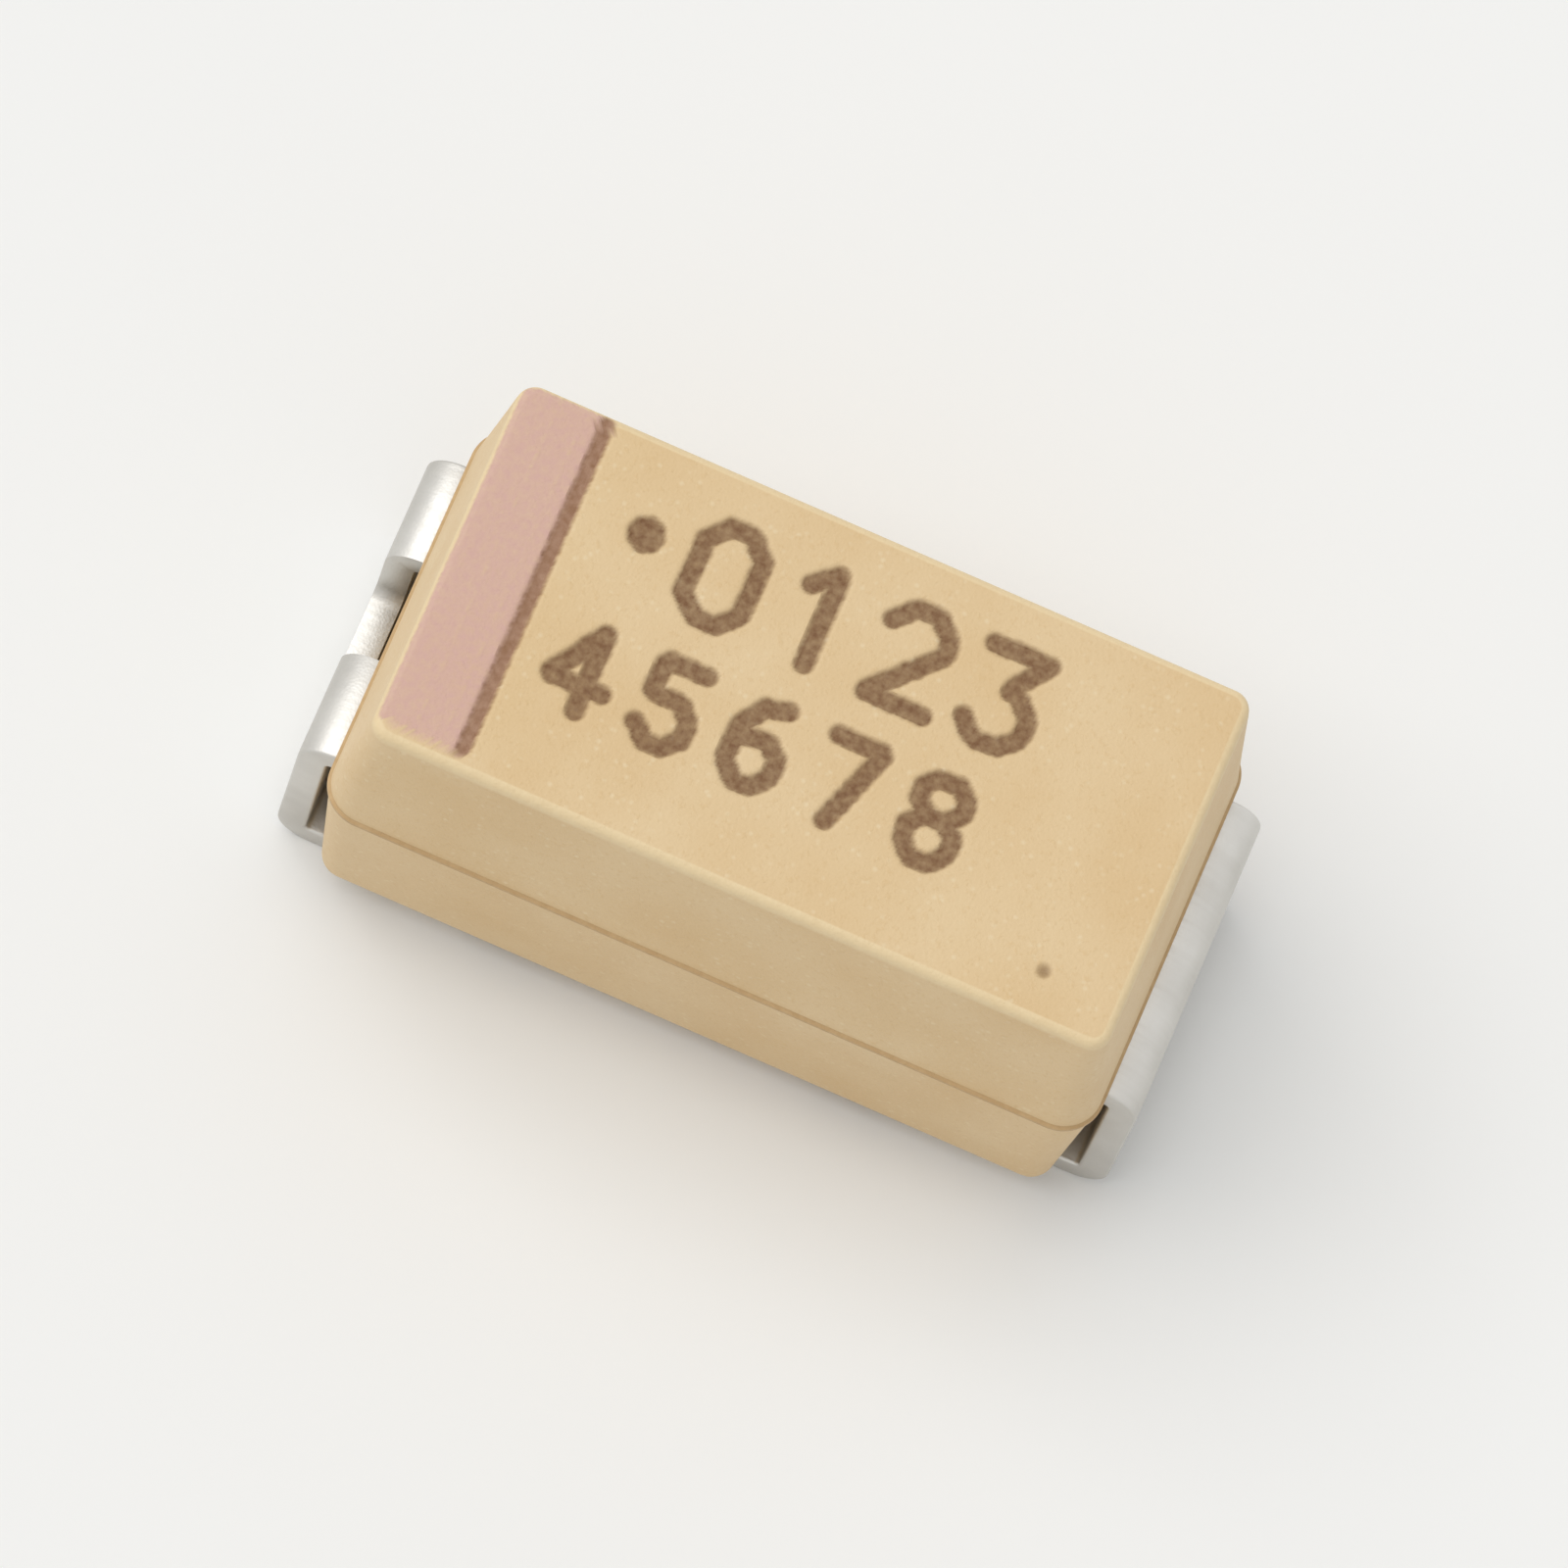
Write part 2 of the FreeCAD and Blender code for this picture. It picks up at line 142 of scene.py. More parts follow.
def geometry_tree(name: str, inputs: Inputs) -> tuple[Nodes, bpy.types.NodeOutputs]:
    """Starts a geometry tree that takes a geometry and named inputs.

    Args:
        name: the tree's name.
        inputs: the socket type and the value of each named input, by label.

    Returns:
        The tree, and the sockets of its inputs by label.
    """
    tree = bpy.data.node_groups.new(name, "GeometryNodeTree")
    for side in ("INPUT", "OUTPUT"):
        tree.interface.new_socket("Geometry", in_out=side, socket_type="NodeSocketGeometry")
    for label, (kind, _) in inputs.items():
        tree.interface.new_socket(label, in_out="INPUT", socket_type=f"NodeSocket{kind}")
    return tree, add_node(tree, "NodeGroupInput").node.outputs


def close_tree(tree: Nodes, shape: Socket, finish: Socket) -> None:
    """Ends a geometry tree in real geometry that carries its finish.

    Args:
        tree: the tree.
        shape: the geometry that it ends in.
        finish: the material's socket.
    """
    real = add_node(tree, "GeometryNodeRealizeInstances", None, {0: shape})
    dressed = add_node(tree, "GeometryNodeSetMaterial", None, {"Geometry": real, "Material": finish})
    add_node(tree, "NodeGroupOutput", None, {0: dressed})


def run_tree(item: Item, tree: Nodes, inputs: Inputs) -> None:
    """Hangs a geometry tree on an object.

    Args:
        item: the object that gets the modifier.
        tree: the tree.
        inputs: what the tree was started with.
    """
    modifier = item.modifiers.new(tree.name, "NODES")
    modifier.node_group = tree
    for socket in tree.interface.items_tree:
        if socket.name in inputs:
            modifier[socket.identifier] = inputs[socket.name][1]


def new_object(name: str, data: bpy.types.ID) -> Item:
    """Puts a mesh, curve, lamp or camera into the scene.

    Args:
        name: the object's name.
        data: its data.

    Returns:
        The object, at the origin.
    """
    item = bpy.data.objects.new(name, data)
    bpy.context.scene.collection.objects.link(item)
    return item


def settle(item: Item, helpers: list[Item]) -> Mesh:
    """Turns an object with live modifiers into a plain mesh and clears it away.

    Args:
        item: the object to evaluate.
        helpers: the objects that its modifiers read, cleared away too.

    Returns:
        The evaluated mesh, with its attributes.
    """
    bpy.context.view_layer.update()
    graph = bpy.context.evaluated_depsgraph_get()
    shape = item.evaluated_get(graph)
    mesh = bpy.data.meshes.new_from_object(shape, preserve_all_data_layers=True, depsgraph=graph)
    mesh.name = item.data.name
    for used in (item, *helpers):
        store = bpy.data.curves if isinstance(used.data, bpy.types.Curve) else bpy.data.meshes
        store.remove(used.data)
    return mesh


def plain_mesh(name: str, points: list, faces: list) -> Mesh:
    """Makes a mesh whose faces point outwards.

    Args:
        name: the mesh's name.
        points: its points.
        faces: its faces, all turned the same way.

    Returns:
        The mesh, turned round if its volume came out negative.
    """
    mesh = bpy.data.meshes.new(name)
    mesh.from_pydata(points, [], faces)
    face_outwards(mesh)
    return mesh


def face_outwards(mesh: Mesh) -> None:
    """Turns a closed mesh's faces outwards, told by the sign of its volume.

    Args:
        mesh: the mesh, whose faces all turn the same way.
    """
    mesh.calc_loop_triangles()
    places = [v.co for v in mesh.vertices]
    corners = (tuple(places[k] for k in triangle.vertices) for triangle in mesh.loop_triangles)
    if sum(a.dot(b.cross(c)) for a, b, c in corners) < 0:
        mesh.flip_normals()


def finish_piece(name: str, mesh: Mesh, node: str) -> None:
    """Scales a piece drawn in millimetres to metres and hands it to the frame.

    Args:
        name: the piece's name.
        mesh: its mesh, in millimetres.
        node: the construction node that it stands for.
    """
    for place in reversed(range(len(mesh.materials))):
        if mesh.materials[place] is None:
            mesh.materials.pop(index=place)
    mesh.transform(Matrix.Scale(MM, 4))
    mesh.shade_smooth()
    mesh.set_sharp_from_angle(angle=SHARP_TURN)
    item = new_object(name, mesh)
    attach(item, "root")
    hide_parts(node)
    LOG.info("%s: %d faces in place of %s", name, len(mesh.polygons), node)


# Finishes


@dataclass(frozen=True)
class Pattern:
    """A pattern whose features have a real size in millimetres, spread over a range."""

    texture: Texture
    size: float
    source: Plan = (0.3, 0.7)
    target: Plan = (0.0, 1.0)
    detail: float = 3.0
    stretch: Triple = EVEN

    def draw(self, tree: Nodes, place: Socket) -> Socket:
        """Draws the texture and its range.

        Args:
            tree: the material's tree.
            place: the object coordinates, in metres.

        Returns:
            The pattern's value, held inside its target range.
        """
        kind, out = self.texture.value
        if self.stretch != EVEN:
            place = add_node(tree, "ShaderNodeMapping", None, {"Vector": place, "Scale": self.stretch})
        links = {"Vector": place, "Scale": 1 / (self.size * MM)}
        if self.texture is Texture.CLOUDS:
            links["Detail"] = self.detail
        value = add_node(tree, kind, None, links, out)
        limits = dict(enumerate((*self.source, *self.target), 1))
        return add_node(tree, "ShaderNodeMapRange", None, {0: value, **limits})


@dataclass
class Skin:
    """What a finish draws: colours laid over its base, roughness and height."""

    layers: list[tuple[Socket, str]]
    roughness: Socket | float
    height: Socket | None = None


@dataclass(frozen=True, kw_only=True)
class Finish:
    """A surface finish: constants for the shader, and patterns that each kind draws."""

    name: str
    base: str
    metallic: float = 0.0
    ior: float = 1.5
    relief: float = 0.002
    relief_strength: float = 0.8

    def draw(self, tree: Nodes, place: Socket) -> Skin:
        """Draws the finish's patterns in its material's tree and gives the skin that they make."""
        raise NotImplementedError

    def material(self) -> bpy.types.Material:
        """Makes the material.

        Returns:
            A material whose principled shader carries this finish.
        """
        material = bpy.data.materials.new(self.name)
        material.use_nodes = True
        tree = material.node_tree
        shader = tree.nodes["Principled BSDF"]
        shader.inputs["Metallic"].default_value = self.metallic
        shader.inputs["IOR"].default_value = self.ior
        skin = self.draw(tree, add_node(tree, "ShaderNodeTexCoord", out="Object"))
        colour = linear(self.base)
        for share, paint in skin.layers:
            links = {0: share, 6: colour, 7: linear(paint)}
            colour = add_node(tree, "ShaderNodeMix", {"data_type": "RGBA"}, links, 2)
        tree.links.new(colour, shader.inputs["Base Color"])
        if isinstance(skin.roughness, Socket):
            tree.links.new(skin.roughness, shader.inputs["Roughness"])
        else:
            shader.inputs["Roughness"].default_value = skin.roughness
        if skin.height:
            links = {"Height": skin.height, "Distance": self.relief * MM, "Strength": self.relief_strength}
            tree.links.new(add_node(tree, "ShaderNodeBump", None, links), shader.inputs["Normal"])
        return material


@dataclass(frozen=True, kw_only=True)
class MouldedEpoxy(Finish):
    """Silica-filled golden epoxy, transfer moulded in a spark-eroded mould.

    The eye sees a warm, even, matt tan with faint clouds where the resin flowed, fine pale filler
    grains, rounded top edges painted lighter, partly resin-rich and partly a painted highlight, a
    darker line at the parting line, partly flash and partly the seam's painted shadow, a rosy bleach
    where a laser scanned the band, brown where its strokes scorched the resin, and painted shade in
    the bubble's pit.
    """

    name: str = "transfer moulded gold epoxy"
    base: str = "#DDC296"
    amber: str = "#D3B27F"
    filler: str = "#E6D2AC"
    edge: str = "#E5CEA3"
    # the rounded top edges: partly resin-rich, partly a painted highlight
    flash: str = "#BA996A"
    # the parting line: partly flash, partly the painted shadow of the seam's step
    band: str = "#D0A99C"
    border: str = "#8E684A"
    scorch: str = "#74502F"
    # the bubble's pit: painted shade, darker where the pit is deeper
    pit: str = "#8A6A42"
    ior: float = 1.55
    relief: float = 0.0022
    relief_strength: float = 0.9
    burnt_roughness: float = 0.2
    fleck_height: float = 0.6
    flow: Pattern = Pattern(Texture.CLOUDS, size=0.55, source=(0.35, 0.75), target=(0.0, 0.8), detail=4.0)
    grains: Pattern = Pattern(Texture.GRAINS, size=0.036, source=(0.1, 0.34), target=(0.5, 0.0))
    scatter: Pattern = Pattern(Texture.CLOUDS, size=0.06, source=(0.45, 0.62), detail=1.0)
    fleck: Pattern = Pattern(Texture.CLOUDS, size=0.024, source=(0.56, 0.72), target=(0.0, 0.35))
    uneven: Pattern = Pattern(Texture.CLOUDS, size=0.03, target=(0.72, 1.0))
    # the eroded mould's pits are about 0.006 mm; drawn at twice that so that they show
    mould: Pattern = Pattern(Texture.CLOUDS, size=0.012, source=(0.0, 1.0))
    satin: Pattern = Pattern(Texture.CLOUDS, size=0.012, target=(0.5, 0.62))

    def draw(self, tree: Nodes, place: Socket) -> Skin:
        """Draws resin, filler, edges and laser marks.

        Args:
            tree: the material's tree.
            place: the object coordinates, in metres.

        Returns:
            The resin's skin, marked where the attributes say.
        """
        grains = {0: self.grains.draw(tree, place), 1: self.scatter.draw(tree, place)}
        fleck = self.fleck.draw(tree, place)
        layers = [
            (self.flow.draw(tree, place), self.amber),
            (add_node(tree, MATH, TIMES, grains), self.filler),
            (fleck, self.amber),
        ]
        uneven = self.uneven.draw(tree, place)
        paints = {
            Mark.ROUNDED: self.edge,
            Mark.SEAM: self.flash,
            Mark.BAND: self.band,
            Mark.BORDER: self.border,
            Mark.STROKES: self.scorch,
            Mark.PIT: self.pit,
        }
        marks = {}
        for mark, paint in paints.items():
            marks[mark] = add_node(tree, "ShaderNodeAttribute", {"attribute_name": mark.value}, out="Fac")
            layers.append((add_node(tree, MATH, TIMES, {0: marks[mark], 1: uneven}), paint))
        burnt = add_node(tree, MATH, MOST, {0: marks[Mark.BAND], 1: marks[Mark.STROKES]})
        links = {0: burnt, 1: self.burnt_roughness, 2: self.satin.draw(tree, place)}
        rough = add_node(tree, MATH, TIMES_PLUS, links)
        links = {0: fleck, 1: self.fleck_height, 2: self.mould.draw(tree, place)}
        return Skin(layers, rough, add_node(tree, MATH, TIMES_PLUS, links))


@dataclass(frozen=True, kw_only=True)
class MatteTin(Finish):
    """Matt tin, electroplated on a rolled and punched nickel-iron strip.

    The eye sees a soft grey-white satin, cloudy where the grain differs, with faint rubs along the
    strip, and the darker bare alloy where the foot was cut off after plating.
    """

    name: str = "matt tin plated strip"
    base: str = "#D3D1CC"
    cloud: str = "#C4C1BB"
    bare: str = "#8E8A84"
    metallic: float = 1.0
    relief: float = 0.0009
    relief_strength: float = 0.5
    roughness: float = 0.4
    rub_roughness: float = 0.12
    cloud_roughness: float = 0.06
    rub_height: float = 0.7
    # just past the cut end of the foot, and just over its top
    cut_reach: float = FOOT_TIP + 0.003
    cut_top: float = STRIP + 0.01
    clouds: Pattern = Pattern(Texture.CLOUDS, size=0.4, source=(0.35, 0.7), detail=5.0)
    rubs: Pattern = Pattern(Texture.CLOUDS, size=0.02, stretch=(0.08, 1.0, 0.08))
    # tin grains are about 0.004 mm; drawn at 0.01 mm so that they show
    grains: Pattern = Pattern(Texture.GRAINS, size=0.01, source=(0.0, 1.0))

    def draw(self, tree: Nodes, place: Socket) -> Skin:
        """Draws plating, rubs and the cut end.

        Args:
            tree: the material's tree.
            place: the object coordinates, in metres.

        Returns:
            The plated skin, bare at the foot's cut.
        """
        clouds, rubs = self.clouds.draw(tree, place), self.rubs.draw(tree, place)
        axes = add_node(tree, "ShaderNodeSeparateXYZ", None, {0: place}).node.outputs
        along = add_node(tree, MATH, {"operation": "ABSOLUTE"}, {0: axes["X"]})
        below = {"operation": "LESS_THAN"}
        tip = add_node(tree, MATH, below, {0: along, 1: self.cut_reach * MM})
        low = add_node(tree, MATH, below, {0: axes["Z"], 1: self.cut_top * MM})
        cut = add_node(tree, MATH, TIMES, {0: tip, 1: low})
        satin = add_node(tree, MATH, TIMES_PLUS, {0: rubs, 1: self.rub_roughness, 2: self.roughness})
        rough = add_node(tree, MATH, TIMES_PLUS, {0: clouds, 1: self.cloud_roughness, 2: satin})
        links = {0: rubs, 1: self.rub_height, 2: self.grains.draw(tree, place)}
        height = add_node(tree, MATH, TIMES_PLUS, links)
        return Skin([(clouds, self.cloud), (cut, self.bare)], rough, height)


@dataclass(frozen=True, kw_only=True)
class PackedGrains(Finish):
    """Grains pressed, fired or painted on: a cloudy tone over a rough, pitted face.

    The eye sees a dull mineral or metal skin, open between its grains; the fields say how dark,
    how coarse and how metallic each of the element's layers is. A cloud and the finest relief are
    so many grains wide.
    """

    shade: str
    grain: float
    roughness: float
    cloud_grains: float = 12.0
    cloud_range: Plan = (0.35, 0.65)
    fine_grains: float = 0.6
    gap_range: Plan = (0.0, 0.5)
    cloud_roughness: float = 0.12
    gap_depth: float = 0.8

    def draw(self, tree: Nodes, place: Socket) -> Skin:
        """Draws clouds, grains and the gaps between them.

        Args:
            tree: the material's tree.
            place: the object coordinates, in metres.

        Returns:
            The layer's skin.
        """
        wide, narrow = self.grain * self.cloud_grains, self.grain * self.fine_grains
        clouds = Pattern(Texture.CLOUDS, wide, source=self.cloud_range).draw(tree, place)
        gaps = Pattern(Texture.GRAINS, self.grain, target=self.gap_range).draw(tree, place)
        fine = Pattern(Texture.CLOUDS, narrow, source=(0.0, 1.0)).draw(tree, place)
        links = {0: clouds, 1: self.cloud_roughness, 2: self.roughness}
        rough = add_node(tree, MATH, TIMES_PLUS, links)
        height = add_node(tree, MATH, TIMES_PLUS, {0: gaps, 1: -self.gap_depth, 2: fine})
        return Skin([(clouds, self.shade), (gaps, self.shade)], rough, height)


@dataclass(frozen=True, kw_only=True)
class LinedSurface(Finish):
    """A surface whose making left lines in it, over a faint cloud.

    On tantalum wire the eye sees a blue-grey satin with fine lines from the drawing dies, and on
    fluoropolymer sheet a milky, waxy white with the skiving knife's lines. A cloud is so many
    lines wide.
    """

    shade: str
    line: float
    stretch: Triple
    roughness: float
    cloud_lines: float = 6.0
    line_roughness: float = 0.14

    def draw(self, tree: Nodes, place: Socket) -> Skin:
        """Draws the lines and the cloud.

        Args:
            tree: the material's tree.
            place: the object coordinates, in metres.

        Returns:
            The lined skin, raised along its lines.
        """
        lines = Pattern(Texture.CLOUDS, self.line, stretch=self.stretch).draw(tree, place)
        clouds = Pattern(Texture.CLOUDS, self.line * self.cloud_lines).draw(tree, place)
        share = add_node(tree, MATH, TIMES, {0: lines, 1: clouds})
        rough = add_node(tree, MATH, TIMES_PLUS, {0: lines, 1: self.line_roughness, 2: self.roughness})
        return Skin([(share, self.shade)], rough, lines)


@dataclass(frozen=True, kw_only=True)
class PaleBoard(Finish):
    """Smooth white board under the part: a clean matt ground that keeps the shadow."""

    name: str = "smooth white board"
    base: str = "#F3F3F1"
    shade: str = "#EFEFED"
    roughness: float = 0.9
    clouds: Pattern = Pattern(Texture.CLOUDS, size=6.0, source=(0.0, 1.0))

    def draw(self, tree: Nodes, place: Socket) -> Skin:
        """Draws a faint cloud."""
        return Skin([(self.clouds.draw(tree, place), self.shade)], self.roughness)


# Laser marks


@dataclass
class LaserPass:
    """One pass of the marking laser: its strokes, and the pulses fired along them.

    Sizes are in millimetres: the pulses' pitch, each spot's radius and depth, how far a pulse may
    wander, and how far under the marked face a point still belongs to it. The flat is the share of
    a spot's radius that its floor takes.
    """

    mark: Mark
    strokes: list[Stroke]
    pitch: float
    spot: float
    depth: float
    wander: float
    seed: int
    flat: float = 0.62
    margin: float = 0.02

    def tree(self, inputs: Inputs) -> Nodes:
        """Builds the tree that fires pulses along a trace and sinks each into a level face.

        Args:
            inputs: its named inputs.

        Returns:
            The tree.
        """
        tree, given = geometry_tree(self.mark.value, inputs)
        trace = add_node(tree, "GeometryNodeObjectInfo", None, {"Object": given["Trace"]}, "Geometry")
        links = {"Curve": trace, "Length": given["Pulse Pitch"]}
        even = add_node(tree, "GeometryNodeResampleCurve", {"mode": "LENGTH"}, links)
        shots = add_node(tree, "GeometryNodeCurveToPoints", {"mode": "EVALUATED"}, {"Curve": even})
        links = {0: given["Wander"], "Scale": -1.0}
        back = add_node(tree, "ShaderNodeVectorMath", {"operation": "SCALE"}, links)
        links = {0: back, 1: given["Wander"], "Seed": given["Seed"]}
        chance = add_node(tree, "FunctionNodeRandomValue", {"data_type": "FLOAT_VECTOR"}, links)
        pulses = add_node(tree, "GeometryNodeSetPosition", None, {"Geometry": shots, "Offset": chance})
        nearest = {"target_element": "POINTS"}
        away = add_node(tree, "GeometryNodeProximity", nearest, {0: pulses}, "Distance")
        floor = add_node(tree, MATH, TIMES, {0: given["Spot Radius"], 1: given["Flat Share"]})
        links = {0: away, 1: floor, 2: given["Spot Radius"], 3: 1.0, 4: 0.0}
        crater = add_node(tree, "ShaderNodeMapRange", {"interpolation_type": "SMOOTHSTEP"}, links)
        here = add_node(tree, "GeometryNodeInputPosition")
        height = add_node(tree, "ShaderNodeSeparateXYZ", None, {0: here}, "Z")
        links = {0: height, 1: given["Lowest Height"]}
        on_face = add_node(tree, MATH, {"operation": "GREATER_THAN"}, links)
        mark = add_node(tree, MATH, TIMES, {0: crater, 1: on_face})
        links = {"Geometry": given["Geometry"], "Name": given["Mark Name"], "Value": mark}
        stored = add_node(tree, "GeometryNodeStoreNamedAttribute", {"data_type": "FLOAT"}, links)
        down = add_node(tree, MATH, TIMES, {0: mark, 1: given["Drop"]})
        drop = add_node(tree, "ShaderNodeCombineXYZ", None, {"Z": down})
        carved = add_node(tree, "GeometryNodeSetPosition", None, {"Geometry": stored, "Offset": drop})
        close_tree(tree, carved, given["Finish"])
        return tree

    def trace(self, height: float) -> Item:
        """Draws the strokes as open curves.

        Args:
            height: the height of the face that is marked.

        Returns:
            One curve object with a spline for each stroke.
        """
        curve = bpy.data.curves.new(self.mark.value, "CURVE")
        curve.dimensions = "3D"
        for stroke in self.strokes:
            spline = curve.splines.new("POLY")
            spline.points.add(len(stroke) - 1)
            for point, (x, y) in zip(spline.points, stroke):
                point.co = (x, y, height, 1.0)
        return new_object(self.mark.value, curve)

    def burn(self, mesh: Mesh, height: float, finish: bpy.types.Material) -> Mesh:
        """Marks a mesh.

        Args:
            mesh: the piece's mesh, in millimetres.
            height: the height of the face that is marked.
            finish: the material that reads the marks.

        Returns:
            A new mesh with the pulses sunk in and the mark's attribute stored.
        """
        blank, trace = new_object("unmarked", mesh), self.trace(height)
        inputs = {
            "Trace": ("Object", trace),
            "Pulse Pitch": ("Float", self.pitch),
            "Spot Radius": ("Float", self.spot),
            "Flat Share": ("Float", self.flat),
            "Drop": ("Float", -self.depth),
            "Wander": ("Vector", (self.wander, self.wander, 0.0)),
            "Seed": ("Int", self.seed),
            "Mark Name": ("String", self.mark.value),
            "Lowest Height": ("Float", height - self.margin),
            "Finish": ("Material", finish),
        }
        run_tree(blank, self.tree(inputs), inputs)
        return settle(blank, [trace])


@dataclass
class Row:
    """One row of digits: its first digit's middle, and sizes in millimetres."""

    digits: str
    start: Plan
    pitch: float
    height: float
    width: float


@dataclass
class Lettering:
    """Two rows of plain digits and a dot, drawn as the laser's single strokes.

    Sizes are in millimetres. A digit is drawn in a cell one high, its middle at the origin.
    """

    rows: tuple[Row, ...] = (
        Row("0123", start=(-0.476, 0.335), pitch=0.353, height=0.36, width=0.36),
        Row("45678", start=(-0.803, -0.186), pitch=0.334, height=0.31, width=0.285),
    )
    dot: Plan = (-0.783, 0.363)
    dot_radius: float = 0.034
    dot_steps: int = 8

    def digits(self) -> dict[str, list[Stroke]]:
        """Gives the strokes of each digit.

        Returns:
            A list of strokes by digit, in the digit's cell.
        """
        bowl = [(0.12, 0.08), (0.3, -0.1), (0.3, -0.32), (0.12, -0.5), (-0.12, -0.5), (-0.3, -0.33)]
        hoop = [(0.12, 0.5), (-0.12, 0.5), (-0.28, 0.36), (-0.28, 0.18), (-0.12, 0.04)]
        side = [(-0.3, -0.3), (-0.12, -0.5), (0.12, -0.5), (0.3, -0.3)]
        hook = [(-0.3, 0.3), (-0.12, 0.5), (0.12, 0.5), (0.3, 0.32), (0.3, 0.14)]
        crest = [(0.2, 0.5), (-0.08, 0.44), (-0.3, 0.14)]
        return {
            "0": [[*side, (0.3, 0.3), (0.12, 0.5), (-0.12, 0.5), (-0.3, 0.3), (-0.3, -0.3)]],
            "1": [[(-0.17, 0.3), (0.06, 0.5), (0.06, -0.5)]],
            "2": [[*hook, (-0.3, -0.5), (0.32, -0.5)]],
            "3": [[(-0.28, 0.5), (0.3, 0.5), (0.02, 0.1), *bowl]],
            "4": [[(0.14, -0.5), (0.14, 0.5), (-0.34, -0.2), (0.36, -0.2)]],
            "5": [[(0.28, 0.5), (-0.24, 0.5), (-0.27, 0.08), *bowl]],
            "6": [[*crest, *side, (0.3, -0.1), (0.12, 0.08), (-0.3, 0.02)]],
            "7": [[(-0.3, 0.5), (0.3, 0.5), (-0.06, -0.5)]],
            "8": [
                [*hoop, (0.12, 0.04), (0.28, 0.18), (0.28, 0.36), (0.12, 0.5)],
                [(-0.12, 0.04), (-0.3, -0.12), *side, (0.3, -0.12), (0.12, 0.04)],
            ],
        }

    def strokes(self) -> list[Stroke]:
        """Lays out the dot and both rows.

        Returns:
            Every stroke as points on the case's top, in millimetres.
        """
        (x, y), radius = self.dot, self.dot_radius
        turns = [math.tau * step / self.dot_steps for step in range(self.dot_steps + 1)]
        laid = [[(x + radius * math.cos(turn), y + radius * math.sin(turn)) for turn in turns]]
        shapes = self.digits()
        for row in self.rows:
            for place, digit in enumerate(row.digits):
                left, middle = row.start[0] + place * row.pitch, row.start[1]
                for stroke in shapes[digit]:
                    laid.append([(left + u * row.width, middle + v * row.height) for u, v in stroke])
        return laid


@dataclass
class PolarityBand:
    """The anode's band, in millimetres: close parallel scans across the top and a darker line."""

    left: float = -1.36
    right: float = -1.06
    front: float = -0.63
    back: float = 0.69
    scan: float = 0.033

    def scans(self) -> list[Stroke]:
        """Lays out the scans from the anode's edge inwards.

        Returns:
            A stroke across the case for each scan.
        """
        count = round((self.right - self.left) / self.scan)
        places = [self.left + (self.right - self.left) * step / count for step in range(count + 1)]
        return [[(x, self.front), (x, self.back)] for x in places]

    def border(self) -> list[Stroke]:
        """Lays out the darker line that closes the band."""
        return [[(self.right, self.front), (self.right, self.back)]]


# Sub-assemblies


@dataclass
class Pit:
    """A small round pit that a bubble left in the resin, in millimetres."""

    x: float = 1.085
    y: float = -0.53
    radius: float = 0.032
    depth: float = 0.012

    def share(self, point: Vector) -> float:
        """Tells how deep in the pit a point of the top lies, from nought to one."""
        away = math.hypot(point.x - self.x, point.y - self.y)
        return max(0.0, 1 - (away / self.radius) ** 2)


